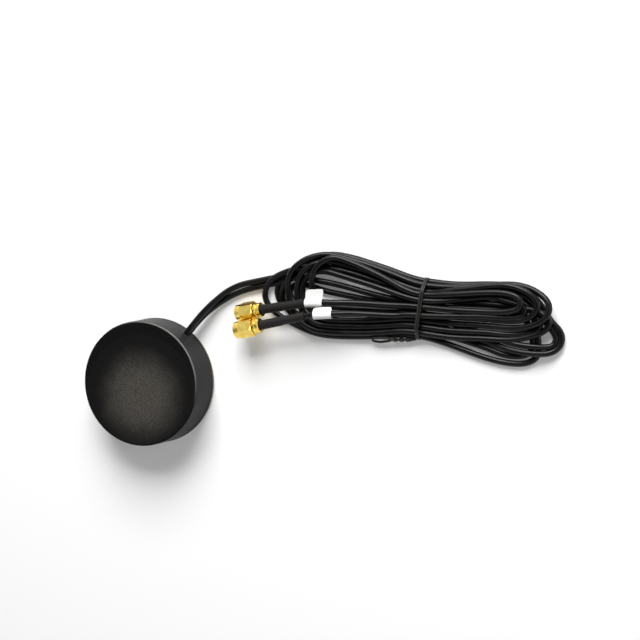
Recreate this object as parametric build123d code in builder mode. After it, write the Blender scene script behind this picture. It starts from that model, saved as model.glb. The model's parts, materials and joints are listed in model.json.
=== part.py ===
from build123d import *
import os
from math import cos, pi, radians, sin, sqrt, tan

os.makedirs("parts", exist_ok=True)

# Round combination antenna with two coaxial cables, each ending in a threaded coaxial plug.
# Millimetres. The origin is the centre of the face that sticks to a surface, +Z is up through
# the cover, and the cables leave the puck towards +Y.

# Puck, outside
BASE_DIAMETER = 60.0
COVER_TAPER = 0.5
COVER_SETBACK = 0.15
COVER_RIM_RADIUS = 0.9
PARTING_GAP = 0.1

# Adhesive under the base
LINER_THICKNESS = 0.2
LINER_MARGIN = 0.35
PAD_THICKNESS = 1.0
PAD_MARGIN = 0.7

# Base plate
FLANGE_THICKNESS = 1.25
FLOOR_THICKNESS = 1.8
SPIGOT_WALL = 1.8
SPIGOT_HEIGHT = 2.6
SPIGOT_CLEARANCE = 0.15
PILLAR_DIAMETER = 5.2
PILLAR_HEIGHT = 2.4
POST_DIAMETER = 5.0
POST_INSET = 6.6
POST_ANGLES = (180, 270, 0)

# Seal between the spigot and the cover
SEAL_SECTION = 1.1
SEAL_RISE = 0.85

# Cover, inside
COVER_WALL = 2.0
COVER_CROWN = 2.2
COVER_INNER_RADIUS = 0.8
BOSS_INSET = 1.85
BOSS_COUNT = 4
BOSS_START_ANGLE = 45
BOSS_DIAMETER = 5.0
BOSS_GAP = 0.1
BOSS_WEB = 1.4
CROWN_RIB = 1.0
CROWN_RIB_WIDTH = 1.2
CROWN_RING_INSET = 10.85
CROWN_RIB_COUNT = 8
CROWN_RIB_START_ANGLE = 22.5

# Screws
BASE_SCREW_DIAMETER = 2.2
BASE_SCREW_LENGTH = 8.0
BASE_SCREW_HEAD = 4.0
BASE_SCREW_HEAD_HEIGHT = 1.3
BASE_SCREW_SINK = 0.3
BOARD_SCREW_DIAMETER = 2.0
BOARD_SCREW_LENGTH = 5.0
BOARD_SCREW_HEAD = 3.6
BOARD_SCREW_HEAD_HEIGHT = 1.2
CLAMP_SCREW_DIAMETER = 2.0
CLAMP_SCREW_LENGTH = 6.0
CLAMP_SCREW_HEAD = 3.6
CLAMP_SCREW_HEAD_HEIGHT = 1.2
SCREW_SLOT_WIDTH = 0.6
SCREW_SLOT_DEPTH = 0.6
SCREW_SLOT_SHARE = 0.7
SCREW_HOLE_CLEARANCE = 0.2
PILOT_EXTRA = 1.0

# Circuit board and what stands on it
BOARD_INSET = 1.85
BOARD_THICKNESS = 1.2
BOARD_CLEARANCE = 0.25
BOARD_BOSS_CLEARANCE = 0.5
BOARD_NOTCH_MARGIN = 1.0
PATCH_STRIP_GAP = 2.22
PATCH_THICKNESS = 4.0
PATCH_HEADROOM = 2.75
PATCH_CORNER = 1.6
PATCH_TAPE_THICKNESS = 0.3
PATCH_TAPE_MARGIN = 1.0
PIN_DIAMETER = 1.0
PIN_HEAD_DIAMETER = 2.2
PIN_HEAD_HEIGHT = 0.3
PIN_TAIL = 0.8
PIN_OFFSET = 2.2
SHIELD_POST_GAP = 1.9
SHIELD_PROPORTION = 1.23
SHIELD_HEIGHT = 2.6
SHIELD_WALL = 0.3
STRIP_INSET = 3.7
STRIP_THICKNESS = 0.8
STRIP_HEADROOM = 0.25
STRIP_SPAN_ANGLE = 240.0
STRIP_MIDDLE_ANGLE = 270.0
STRIP_SLOT_COUNT = 11
STRIP_SLOT_STEP_ANGLE = 18.0
STRIP_SLOT_WIDTH = 1.6
STRIP_SLOT_LAND = 1.4

# Coaxial cable
CABLE_DIAMETER = 2.8
CABLE_PITCH = 2.9
BRAID_DIAMETER = 2.0
DIELECTRIC_DIAMETER = 1.5
CORE_DIAMETER = 0.5
STRIP_BACK = 1.6
CORE_BEND = 1.2
CORE_SINK = 0.2
COAX_END_REACH = (16.85, 12.65)

# Grommet and cable clamp
GROMMET_WALL = 0.9
GROMMET_FIT = 0.1
GROMMET_RECESS = 0.25
GROMMET_LIP = 1.2
GROMMET_LIP_THICKNESS = 1.2
CLAMP_LENGTH = 12.4
CLAMP_WIDTH = 5.0
CLAMP_THICKNESS = 1.6
CLAMP_INSET = 1.45
CLAMP_GAP = 0.2
SADDLE_CLEARANCE = 0.1

# Threaded coaxial plug, measured from its mating end
NUT_SIDES = 6
NUT_ACROSS_FLATS = 8.0
NUT_LENGTH = 9.9
NUT_COLLAR_LENGTH = 2.8
NUT_COLLAR_DIAMETER = 7.9
NUT_COLLAR_EDGE = 0.5
NUT_CORNER_RISE = 0.6
NUT_BORE_DIAMETER = 5.75
NUT_MOUTH_DIAMETER = 6.6
NUT_BORE_DEPTH = 6.2
NUT_RELIEF_DIAMETER = 6.7
NUT_RELIEF_LENGTH = 1.5
NUT_REAR_GAP = 0.2
NUT_RUNNING_CLEARANCE = 0.1
SHELL_START = 2.7
SHELL_DIAMETER = 4.55
INSULATOR_DIAMETER = 4.1
SHOULDER_START = 5.5
SHOULDER_LENGTH = 1.1
SHOULDER_DIAMETER = 5.5
NECK_DIAMETER = 5.0
RING_GROOVE_START = 6.8
RING_GROOVE_LENGTH = 0.6
RING_GROOVE_DIAMETER = 4.4
RING_THICKNESS = 0.45
RING_DIAMETER = 6.3
RING_GAP = 1.4
RING_CLEARANCE = 0.05
COLLAR_LENGTH = 3.3
COLLAR_DIAMETER = 6.8
COLLAR_EDGE = 0.3
COLLAR_GROOVE_WIDTH = 0.5
COLLAR_GROOVE_DEPTH = 0.35
CRIMP_NECK_LENGTH = 6.0
CRIMP_NECK_DIAMETER = 3.1
CRIMP_BORE = 1.9
INSULATOR_LENGTH = 7.9
GASKET_THICKNESS = 0.8
CONTACT_TIP_START = 0.4
CONTACT_DIAMETER = 0.92
CONTACT_TIP_LENGTH = 0.5
CONTACT_TIP_DIAMETER = 0.3
CONTACT_BARREL_DIAMETER = 1.27
CONTACT_BARREL_SINK = 0.3
CONTACT_BARREL_LENGTH = 9.6
FERRULE_LENGTH = 7.5
FERRULE_BORE = 3.2
FERRULE_DIAMETER = 3.7
SLEEVE_LENGTH = 23.3
SLEEVE_DIAMETER = 4.4
SLEEVE_STEP_AT = 10.8
SLEEVE_STEP = 0.15
SLEEVE_EDGE = 0.25

# Where the two plugs lie: mating end, direction towards the cable, and turn of the nut
PLUG_START = ((13.88, 53.89, 4.90), (19.75, 48.78, 10.30))
PLUG_AZIMUTH = (47.7, 50.7)
PLUG_ELEVATION = (9.5, 5.9)
NUT_FACE_ANGLE = (19.6, 12.7)

# Routes of the cables that lie outside the puck and the hank
LEAD_STRAIGHT = 6.8
LEAD_ROUTES = (
    ((1.6, 48.0, 2.2), (6.8, 61.0, 1.5), (15.2, 72.4, 1.5), (22.5, 80.6, 2.2)),
    ((0.6, 48.5, 5.0), (3.5, 61.7, 2.2), (12.3, 74.0, 1.5), (19.3, 81.4, 1.8)),
)
TAIL_STRAIGHT = 4.5
TAIL_ROUTES = (
    ((49.3, 89.9, 10.6), (55.3, 94.9, 8.8), (71.4, 106.5, 7.0)),
    ((54.6, 88.2, 12.4), (60.3, 92.8, 9.6), (74.7, 103.1, 7.0)),
)

# Hank of both cables, in its own frame: x along it with 0 at the tie, y across it
HANK_TIE_POINT = (80.7, 112.0)
HANK_ANGLE = 30.0
HANK_OUTLINE = (
    (-77.0, -7.0), (-66.5, 7.5), (-46.0, 19.0), (-20.0, 16.4), (0.0, 13.0), (14.0, 14.4),
    (35.0, 18.2), (52.5, 13.0), (66.3, -3.0), (57.0, -12.0), (47.0, -17.2), (28.0, -15.8),
    (8.0, -13.2), (-6.0, -14.0), (-22.0, -17.4), (-43.0, -21.5), (-64.0, -18.2),
)
HANK_TOP = (
    (-80.0, 1.8), (-66.0, 5.6), (-52.0, 7.7), (-24.0, 7.3), (0.0, 8.2), (40.0, 8.4), (55.0, 5.8),
    (68.0, 2.8),
)
HANK_SLOT_CENTRE = (-33.5, 4.2)
HANK_SLOT_LENGTH = 34.0
HANK_SLOT_WIDTH = 5.0
HANK_SLOT_ANGLE = -4.0

# Twist tie round the hank
TIE_AT = 0.9
TIE_THICKNESS = 0.9
TIE_WIDTH = 1.8
TIE_INSIDE_WIDTH = 26.1
TIE_INSIDE_HEIGHT = 7.4
TIE_SHOULDER_WIDTH = 17.2
TIE_SHOULDER_DROP = 4.6
TIE_CORNER = 1.4
TWIST_STRAND = 1.15
TWIST_RADIUS = 0.56
TWIST_PITCH = 5.2
TWIST_TURNS = 2
TWIST_START = (0.3, -13.4)
TWIST_DIRECTION = (-0.955, -0.296)
TWIST_ENDS = (8.5, 6.0)

# Bare paper labels wrapped round the two cables beside their plugs
LABEL_WIDTH = 8.2
LABEL_PAPER = 0.15
LABEL_LOOSENESS = (0.35, 0.6)
LABEL_FLAG = (6.8, 5.4)
LABEL_FLAG_TURN = (8.0, 54.0)
LABEL_CORNER = 1.4
LABEL_FROM_SLEEVE = (4.6, 8.5)

# Heights and radii that follow from the sizes above
pad_bottom = LINER_THICKNESS
base_bottom = pad_bottom + PAD_THICKNESS
flange_top = base_bottom + FLANGE_THICKNESS
floor_top = base_bottom + FLOOR_THICKNESS
cover_bottom = flange_top + PARTING_GAP
cable_lower = floor_top + CABLE_DIAMETER / 2
cable_upper = cable_lower + CABLE_PITCH
clamp_bottom = cable_upper + CABLE_DIAMETER / 2
board_bottom = clamp_bottom + BOARD_CLEARANCE
board_top = board_bottom + BOARD_THICKNESS
patch_bottom = board_top + PATCH_TAPE_THICKNESS
patch_top = patch_bottom + PATCH_THICKNESS
crown_bottom = patch_top + PATCH_HEADROOM
puck_height = crown_bottom + COVER_CROWN
cover_bottom_radius = BASE_DIAMETER / 2 - COVER_SETBACK
cover_top_radius = BASE_DIAMETER / 2 - COVER_TAPER


def cover_radius(height):
    """Outside radius of the tapered cover at a height."""
    share = (height - cover_bottom) / (puck_height - cover_bottom)
    return cover_bottom_radius + (cover_top_radius - cover_bottom_radius) * share


spigot_top = flange_top + SPIGOT_HEIGHT
spigot_radius = cover_radius(spigot_top) - COVER_WALL - SPIGOT_CLEARANCE
spigot_inner_radius = spigot_radius - SPIGOT_WALL
seal_bottom = flange_top + SEAL_RISE
seal_top = seal_bottom + SEAL_SECTION
seal_radius = cover_radius(seal_top) - COVER_WALL
seal_groove_radius = seal_radius - SEAL_SECTION
pillar_top = floor_top + PILLAR_HEIGHT
boss_bottom = pillar_top + BOSS_GAP
boss_circle = spigot_inner_radius - BOSS_INSET
crown_ring_radius = spigot_inner_radius - CROWN_RING_INSET
board_radius = spigot_inner_radius - BOARD_INSET
post_circle = board_radius - POST_INSET
strip_radius = board_radius - STRIP_INSET
strip_height = crown_bottom - CROWN_RIB - STRIP_HEADROOM - board_top
patch_side = sqrt(2) * (strip_radius - STRIP_THICKNESS / 2 - PATCH_STRIP_GAP)
shield_width = post_circle - POST_DIAMETER / 2 - SHIELD_POST_GAP
shield_length = SHIELD_PROPORTION * shield_width
grommet_width = CABLE_DIAMETER + 2 * GROMMET_WALL
grommet_bottom = cable_lower - CABLE_DIAMETER / 2 - GROMMET_WALL
grommet_outer = BASE_DIAMETER / 2 - GROMMET_RECESS
seal_opening = grommet_width + 2 * GROMMET_LIP + 4 * GROMMET_FIT
grommet_back = spigot_inner_radius
grommet_seat = grommet_back + GROMMET_LIP_THICKNESS
clamp_middle = grommet_back - CLAMP_INSET - CLAMP_WIDTH / 2
clamp_screw_spacing = (CLAMP_LENGTH + CABLE_DIAMETER) / 2
coax_ends = [grommet_back - reach for reach in COAX_END_REACH]
base_screw_seat = base_bottom + BASE_SCREW_SINK + BASE_SCREW_HEAD_HEIGHT
base_pilot_top = base_screw_seat + BASE_SCREW_LENGTH + PILOT_EXTRA


# Release liner and adhesive pad

with BuildPart() as release_liner:
    with BuildSketch(Plane.XY):
        Circle(BASE_DIAMETER / 2 - LINER_MARGIN)
    extrude(amount=LINER_THICKNESS)
release_liner.part.label = "release_liner"
export_step(release_liner.part, "parts/release_liner.step")

with BuildPart() as adhesive_pad:
    with BuildSketch(Plane.XY.offset(pad_bottom)):
        Circle(BASE_DIAMETER / 2 - PAD_MARGIN)
    extrude(amount=PAD_THICKNESS)
adhesive_pad.part.label = "adhesive_pad"
export_step(adhesive_pad.part, "parts/adhesive_pad.step")


# Base plate: flange, grooved spigot, screw pillars, board posts, cable saddle and cable recess

with BuildPart() as base_plate:
    with BuildSketch(Plane.XZ):
        with BuildLine():
            Polyline(
                (0, base_bottom),
                (BASE_DIAMETER / 2, base_bottom),
                (BASE_DIAMETER / 2, flange_top),
                (spigot_radius, flange_top),
                (spigot_radius, seal_bottom),
                (seal_groove_radius, seal_bottom),
                (seal_groove_radius, seal_top),
                (spigot_radius, seal_top),
                (spigot_radius, spigot_top),
                (spigot_inner_radius, spigot_top),
                (spigot_inner_radius, floor_top),
                (0, floor_top),
                close=True,
            )
        make_face()
    revolve(axis=Axis.Z)
    with BuildSketch(Plane.XY.offset(floor_top)):
        with PolarLocations(boss_circle, BOSS_COUNT, start_angle=BOSS_START_ANGLE):
            Circle(PILLAR_DIAMETER / 2)
    extrude(amount=PILLAR_HEIGHT)
    with BuildSketch(Plane.XY.offset(floor_top)):
        for angle in POST_ANGLES:
            with PolarLocations(post_circle, 1, start_angle=angle):
                Circle(POST_DIAMETER / 2)
    extrude(amount=board_bottom - floor_top)
    with BuildSketch(Plane.XY.offset(floor_top)):
        with Locations((0, clamp_middle)):
            Rectangle(CLAMP_LENGTH, CLAMP_WIDTH)
            Rectangle(CABLE_DIAMETER + 2 * SADDLE_CLEARANCE, CLAMP_WIDTH, mode=Mode.SUBTRACT)
    extrude(amount=clamp_bottom - CLAMP_GAP - floor_top)
    with BuildSketch(Plane.XY.offset(base_bottom)):
        with PolarLocations(boss_circle, BOSS_COUNT, start_angle=BOSS_START_ANGLE):
            Circle((BASE_SCREW_DIAMETER + SCREW_HOLE_CLEARANCE) / 2)
    extrude(amount=pillar_top - base_bottom, mode=Mode.SUBTRACT)
    with BuildSketch(Plane.XY.offset(base_bottom)):
        with PolarLocations(boss_circle, BOSS_COUNT, start_angle=BOSS_START_ANGLE):
            Circle((BASE_SCREW_HEAD + SCREW_HOLE_CLEARANCE) / 2)
    extrude(amount=base_screw_seat - base_bottom, mode=Mode.SUBTRACT)
    with BuildSketch(Plane.XY.offset(board_bottom)):
        for angle in POST_ANGLES:
            with PolarLocations(post_circle, 1, start_angle=angle):
                Circle(BOARD_SCREW_DIAMETER / 2)
    extrude(amount=-(BOARD_SCREW_LENGTH - BOARD_THICKNESS), mode=Mode.SUBTRACT)
    with BuildSketch(Plane.XY.offset(clamp_bottom)):
        with Locations((0, clamp_middle)):
            with GridLocations(clamp_screw_spacing, 0, 2, 1):
                Circle(CLAMP_SCREW_DIAMETER / 2)
    extrude(amount=-(CLAMP_SCREW_LENGTH - CLAMP_THICKNESS), mode=Mode.SUBTRACT)
    with BuildSketch(Plane.XY.offset(grommet_bottom - GROMMET_FIT)):
        with Locations((0, (grommet_seat + BASE_DIAMETER / 2) / 2)):
            Rectangle(grommet_width + 2 * GROMMET_FIT, BASE_DIAMETER / 2 - grommet_seat + 2)
    extrude(amount=SPIGOT_HEIGHT + FLANGE_THICKNESS, mode=Mode.SUBTRACT)
    with BuildSketch(Plane.XY.offset(floor_top)):
        with Locations((0, (spigot_inner_radius + grommet_seat) / 2 - GROMMET_FIT)):
            Rectangle(
                grommet_width + 2 * GROMMET_LIP + 2 * GROMMET_FIT,
                GROMMET_LIP_THICKNESS + 4 * GROMMET_FIT,
            )
    extrude(amount=SPIGOT_HEIGHT, mode=Mode.SUBTRACT)
base_plate.part.label = "base_plate"
export_step(base_plate.part, "parts/base_plate.step")


# Cover: tapered shell with a rounded rim, screw bosses on webs, crown ribs and the cable notch

with BuildPart() as cover:
    with BuildSketch(Plane.XZ) as cover_section:
        with BuildLine():
            Polyline(
                (cover_bottom_radius - COVER_WALL, cover_bottom),
                (cover_bottom_radius, cover_bottom),
                (cover_top_radius, puck_height),
                (0, puck_height),
                (0, crown_bottom),
                (cover_radius(crown_bottom) - COVER_WALL, crown_bottom),
                close=True,
            )
        make_face()
        rim_corner = cover_section.vertices().sort_by_distance((cover_top_radius, puck_height))[0]
        fillet(rim_corner, COVER_RIM_RADIUS)
        inner_corner = cover_section.vertices().sort_by_distance(
            (cover_radius(crown_bottom) - COVER_WALL, crown_bottom)
        )[0]
        fillet(inner_corner, COVER_INNER_RADIUS)
    revolve(axis=Axis.Z)
    with BuildSketch(Plane.XY.offset(boss_bottom)):
        with PolarLocations(boss_circle, BOSS_COUNT, start_angle=BOSS_START_ANGLE):
            Circle(BOSS_DIAMETER / 2)
    extrude(amount=crown_bottom + COVER_CROWN / 2 - boss_bottom)
    with BuildSketch(Plane.XY.offset(boss_bottom)):
        with PolarLocations(boss_circle + BOSS_DIAMETER / 2, BOSS_COUNT, start_angle=BOSS_START_ANGLE):
            Rectangle(BOSS_DIAMETER, BOSS_WEB)
    extrude(amount=crown_bottom + COVER_CROWN / 2 - boss_bottom)
    with BuildSketch(Plane.XY.offset(crown_bottom - CROWN_RIB)):
        Circle(crown_ring_radius + CROWN_RIB_WIDTH / 2)
        Circle(crown_ring_radius - CROWN_RIB_WIDTH / 2, mode=Mode.SUBTRACT)
        rib_end = cover_radius(crown_bottom) - COVER_WALL / 2
        rib_middle = (crown_ring_radius + rib_end) / 2
        with PolarLocations(rib_middle, CROWN_RIB_COUNT, start_angle=CROWN_RIB_START_ANGLE):
            Rectangle(rib_end - crown_ring_radius, CROWN_RIB_WIDTH)
    extrude(amount=CROWN_RIB + COVER_CROWN / 2)
    with BuildSketch(Plane.XY.offset(boss_bottom)):
        with PolarLocations(boss_circle, BOSS_COUNT, start_angle=BOSS_START_ANGLE):
            Circle(BASE_SCREW_DIAMETER / 2)
    extrude(amount=base_pilot_top - boss_bottom, mode=Mode.SUBTRACT)
    with BuildSketch(Plane.XZ.offset(-BASE_DIAMETER / 2)):
        with Locations((0, cable_upper)):
            Circle(grommet_width / 2 + GROMMET_FIT)
        with Locations((0, (cover_bottom + cable_upper) / 2)):
            Rectangle(grommet_width + 2 * GROMMET_FIT, cable_upper - cover_bottom)
    extrude(amount=2 * COVER_WALL, mode=Mode.SUBTRACT)
cover.part.label = "cover"
export_step(cover.part, "parts/cover.step")

# Square rubber seal in the spigot's groove, open where the grommet's lip stands
with BuildPart() as seal_ring:
    with BuildSketch(Plane.XY.offset(seal_bottom)):
        Circle(seal_radius)
        Circle(seal_groove_radius, mode=Mode.SUBTRACT)
        with Locations((0, seal_radius)):
            Rectangle(seal_opening, 4 * SEAL_SECTION, mode=Mode.SUBTRACT)
    extrude(amount=SEAL_SECTION)
seal_ring.part.label = "seal_ring"
export_step(seal_ring.part, "parts/seal_ring.step")


# Self-tapping screws: four from below into the cover, three for the board, two for the clamp

with BuildPart() as base_screws:
    with BuildSketch(Plane.XY.offset(base_bottom + BASE_SCREW_SINK)):
        with PolarLocations(boss_circle, BOSS_COUNT, start_angle=BOSS_START_ANGLE):
            Circle(BASE_SCREW_HEAD / 2)
    extrude(amount=BASE_SCREW_HEAD_HEIGHT)
    with BuildSketch(Plane.XY.offset(base_screw_seat)):
        with PolarLocations(boss_circle, BOSS_COUNT, start_angle=BOSS_START_ANGLE):
            Circle(BASE_SCREW_DIAMETER / 2)
    extrude(amount=BASE_SCREW_LENGTH)
    with BuildSketch(Plane.XY.offset(base_bottom + BASE_SCREW_SINK)):
        with PolarLocations(boss_circle, BOSS_COUNT, start_angle=BOSS_START_ANGLE):
            Rectangle(SCREW_SLOT_SHARE * BASE_SCREW_HEAD, SCREW_SLOT_WIDTH)
            Rectangle(SCREW_SLOT_WIDTH, SCREW_SLOT_SHARE * BASE_SCREW_HEAD)
    extrude(amount=SCREW_SLOT_DEPTH, mode=Mode.SUBTRACT)
base_screws.part.label = "base_screws"
export_step(base_screws.part, "parts/base_screws.step")

with BuildPart() as board_screws:
    with BuildSketch(Plane.XY.offset(board_top)):
        for angle in POST_ANGLES:
            with PolarLocations(post_circle, 1, start_angle=angle):
                Circle(BOARD_SCREW_HEAD / 2)
    extrude(amount=BOARD_SCREW_HEAD_HEIGHT)
    with BuildSketch(Plane.XY.offset(board_top)):
        for angle in POST_ANGLES:
            with PolarLocations(post_circle, 1, start_angle=angle):
                Circle(BOARD_SCREW_DIAMETER / 2)
    extrude(amount=-BOARD_SCREW_LENGTH)
    with BuildSketch(Plane.XY.offset(board_top + BOARD_SCREW_HEAD_HEIGHT)):
        for angle in POST_ANGLES:
            with PolarLocations(post_circle, 1, start_angle=angle):
                Rectangle(SCREW_SLOT_SHARE * BOARD_SCREW_HEAD, SCREW_SLOT_WIDTH)
                Rectangle(SCREW_SLOT_WIDTH, SCREW_SLOT_SHARE * BOARD_SCREW_HEAD)
    extrude(amount=-SCREW_SLOT_DEPTH, mode=Mode.SUBTRACT)
board_screws.part.label = "board_screws"
export_step(board_screws.part, "parts/board_screws.step")

with BuildPart() as clamp_screws:
    clamp_top = clamp_bottom + CLAMP_THICKNESS
    with BuildSketch(Plane.XY.offset(clamp_top)):
        with Locations((0, clamp_middle)):
            with GridLocations(clamp_screw_spacing, 0, 2, 1):
                Circle(CLAMP_SCREW_HEAD / 2)
    extrude(amount=CLAMP_SCREW_HEAD_HEIGHT)
    with BuildSketch(Plane.XY.offset(clamp_top)):
        with Locations((0, clamp_middle)):
            with GridLocations(clamp_screw_spacing, 0, 2, 1):
                Circle(CLAMP_SCREW_DIAMETER / 2)
    extrude(amount=-CLAMP_SCREW_LENGTH)
    with BuildSketch(Plane.XY.offset(clamp_top + CLAMP_SCREW_HEAD_HEIGHT)):
        with Locations((0, clamp_middle)):
            with GridLocations(clamp_screw_spacing, 0, 2, 1):
                Rectangle(SCREW_SLOT_SHARE * CLAMP_SCREW_HEAD, SCREW_SLOT_WIDTH)
                Rectangle(SCREW_SLOT_WIDTH, SCREW_SLOT_SHARE * CLAMP_SCREW_HEAD)
    extrude(amount=-SCREW_SLOT_DEPTH, mode=Mode.SUBTRACT)
clamp_screws.part.label = "clamp_screws"
export_step(clamp_screws.part, "parts/clamp_screws.step")

with BuildPart() as cable_clamp:
    with BuildSketch(Plane.XY.offset(clamp_bottom)):
        with Locations((0, clamp_middle)):
            RectangleRounded(CLAMP_LENGTH, CLAMP_WIDTH, CLAMP_WIDTH / 4)
            with GridLocations(clamp_screw_spacing, 0, 2, 1):
                Circle((CLAMP_SCREW_DIAMETER + SCREW_HOLE_CLEARANCE) / 2, mode=Mode.SUBTRACT)
    extrude(amount=CLAMP_THICKNESS)
cable_clamp.part.label = "cable_clamp"
export_step(cable_clamp.part, "parts/cable_clamp.step")


# Rubber grommet: a domed plug in the wall with a lip behind it and a bore for each cable

with BuildPart() as cable_grommet:
    with BuildSketch(Plane.XZ.offset(-grommet_seat)):
        with Locations((0, cable_upper)):
            Circle(grommet_width / 2)
        with Locations((0, (grommet_bottom + cable_upper) / 2)):
            Rectangle(grommet_width, cable_upper - grommet_bottom)
    extrude(amount=-(grommet_outer - grommet_seat))
    with BuildSketch(Plane.XZ.offset(-grommet_seat)):
        lip_width = grommet_width + 2 * GROMMET_LIP
        with Locations((0, cable_upper)):
            Circle(lip_width / 2)
        with Locations((0, (floor_top + cable_upper) / 2)):
            Rectangle(lip_width, cable_upper - floor_top)
    extrude(amount=GROMMET_LIP_THICKNESS)
    with BuildSketch(Plane.XZ.offset(-grommet_outer)):
        with Locations((0, cable_lower), (0, cable_upper)):
            Circle(CABLE_DIAMETER / 2)
    extrude(amount=grommet_outer - grommet_seat + GROMMET_LIP_THICKNESS, mode=Mode.SUBTRACT)
cable_grommet.part.label = "cable_grommet"
export_step(cable_grommet.part, "parts/cable_grommet.step")


# Circuit board with its notches and holes, the shield under it and the radiators on it

with BuildPart() as antenna_board:
    with BuildSketch(Plane.XY.offset(board_bottom)):
        Circle(board_radius)
        with PolarLocations(boss_circle, BOSS_COUNT, start_angle=BOSS_START_ANGLE):
            Circle(BOSS_DIAMETER / 2 + BOARD_BOSS_CLEARANCE, mode=Mode.SUBTRACT)
        with Locations((0, clamp_middle)):
            Rectangle(
                CLAMP_LENGTH + 2 * BOARD_NOTCH_MARGIN,
                CLAMP_WIDTH + 2 * BOARD_NOTCH_MARGIN,
                mode=Mode.SUBTRACT,
            )
        for angle in POST_ANGLES:
            with PolarLocations(post_circle, 1, start_angle=angle):
                Circle((BOARD_SCREW_DIAMETER + SCREW_HOLE_CLEARANCE) / 2, mode=Mode.SUBTRACT)
        with Locations((0, PIN_OFFSET)):
            Circle(PIN_DIAMETER / 2, mode=Mode.SUBTRACT)
        with Locations(*[(0, end) for end in coax_ends]):
            Circle(CORE_DIAMETER / 2, mode=Mode.SUBTRACT)
    extrude(amount=BOARD_THICKNESS)
antenna_board.part.label = "antenna_board"
export_step(antenna_board.part, "parts/antenna_board.step")

with BuildPart() as shield_can:
    with BuildSketch(Plane.XY.offset(board_bottom)):
        with Locations((0, -shield_width / 2)):
            Rectangle(shield_length, shield_width)
    extrude(amount=-SHIELD_HEIGHT)
    fillet(shield_can.edges().filter_by(Axis.Z), 2 * SHIELD_WALL)
    offset(amount=-SHIELD_WALL, openings=shield_can.faces().sort_by(Axis.Z)[-1])
shield_can.part.label = "shield_can"
export_step(shield_can.part, "parts/shield_can.step")

with BuildPart() as patch_tape:
    with BuildSketch(Plane.XY.offset(board_top)):
        Rectangle(patch_side - 2 * PATCH_TAPE_MARGIN, patch_side - 2 * PATCH_TAPE_MARGIN)
        with Locations((0, PIN_OFFSET)):
            Circle(PIN_HEAD_DIAMETER / 2, mode=Mode.SUBTRACT)
    extrude(amount=PATCH_TAPE_THICKNESS)
patch_tape.part.label = "patch_tape"
export_step(patch_tape.part, "parts/patch_tape.step")

with BuildPart() as gps_patch:
    with BuildSketch(Plane.XY.offset(patch_bottom)) as patch_outline:
        Rectangle(patch_side, patch_side)
        chamfer(patch_outline.vertices(), PATCH_CORNER)
        with Locations((0, PIN_OFFSET)):
            Circle(PIN_DIAMETER / 2, mode=Mode.SUBTRACT)
    extrude(amount=PATCH_THICKNESS)
gps_patch.part.label = "gps_patch"
export_step(gps_patch.part, "parts/gps_patch.step")

with BuildPart() as patch_pin:
    with BuildSketch(Plane.XY.offset(patch_top)):
        with Locations((0, PIN_OFFSET)):
            Circle(PIN_HEAD_DIAMETER / 2)
    extrude(amount=PIN_HEAD_HEIGHT)
    with BuildSketch(Plane.XY.offset(patch_top)):
        with Locations((0, PIN_OFFSET)):
            Circle(PIN_DIAMETER / 2)
    extrude(amount=-(patch_top - board_bottom + PIN_TAIL))
patch_pin.part.label = "patch_pin"
export_step(patch_pin.part, "parts/patch_pin.step")

# Curved radiator: an upright arc cut into a meander by slots from alternate edges
with BuildPart() as cellular_element:
    with BuildSketch(Plane.XY.offset(board_top)):
        with BuildLine():
            CenterArc((0, 0), strip_radius, STRIP_MIDDLE_ANGLE - STRIP_SPAN_ANGLE / 2, STRIP_SPAN_ANGLE)
        trace(line_width=STRIP_THICKNESS)
    extrude(amount=strip_height)
    for number in range(STRIP_SLOT_COUNT):
        slot_angle = STRIP_MIDDLE_ANGLE + STRIP_SLOT_STEP_ANGLE * (number - (STRIP_SLOT_COUNT - 1) / 2)
        slot_bottom = board_top + STRIP_SLOT_LAND if number % 2 else board_top
        with BuildSketch(Plane.XY.offset(slot_bottom)):
            with PolarLocations(strip_radius, 1, start_angle=slot_angle):
                Rectangle(4 * STRIP_THICKNESS, STRIP_SLOT_WIDTH)
        extrude(amount=strip_height - STRIP_SLOT_LAND, mode=Mode.SUBTRACT)
cellular_element.part.label = "cellular_element"
export_step(cellular_element.part, "parts/cellular_element.step")


# Stripped cable ends inside the puck, each turned up into its hole in the board

def coax_end(height, end):
    """Jacket, braid, dielectric and bent core of a cable that ends under the board."""
    jacket_end = end + CORE_BEND + 3 * STRIP_BACK
    with BuildPart() as stripped:
        with BuildSketch(Plane.XZ.offset(-grommet_back)):
            with Locations((0, height)):
                Circle(CABLE_DIAMETER / 2)
        extrude(amount=grommet_back - jacket_end)
        with BuildSketch(Plane.XZ.offset(-jacket_end)):
            with Locations((0, height)):
                Circle(BRAID_DIAMETER / 2)
        extrude(amount=STRIP_BACK)
        with BuildSketch(Plane.XZ.offset(-(jacket_end - STRIP_BACK))):
            with Locations((0, height)):
                Circle(DIELECTRIC_DIAMETER / 2)
        extrude(amount=STRIP_BACK)
        core_start = jacket_end - 2 * STRIP_BACK
        with BuildLine():
            FilletPolyline(
                (0, core_start, height),
                (0, end, height),
                (0, end, board_top - CORE_SINK),
                radius=CORE_BEND,
            )
        with BuildSketch(Plane.XZ.offset(-core_start)):
            with Locations((0, height)):
                Circle(CORE_DIAMETER / 2)
        sweep()
    return stripped


coax_end_1 = coax_end(cable_lower, coax_ends[0])
coax_end_1.part.label = "coax_end_1"
export_step(coax_end_1.part, "parts/coax_end_1.step")

coax_end_2 = coax_end(cable_upper, coax_ends[1])
coax_end_2.part.label = "coax_end_2"
export_step(coax_end_2.part, "parts/coax_end_2.step")


# Threaded coaxial plugs: everything is turned about an axis that starts at the mating end

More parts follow.
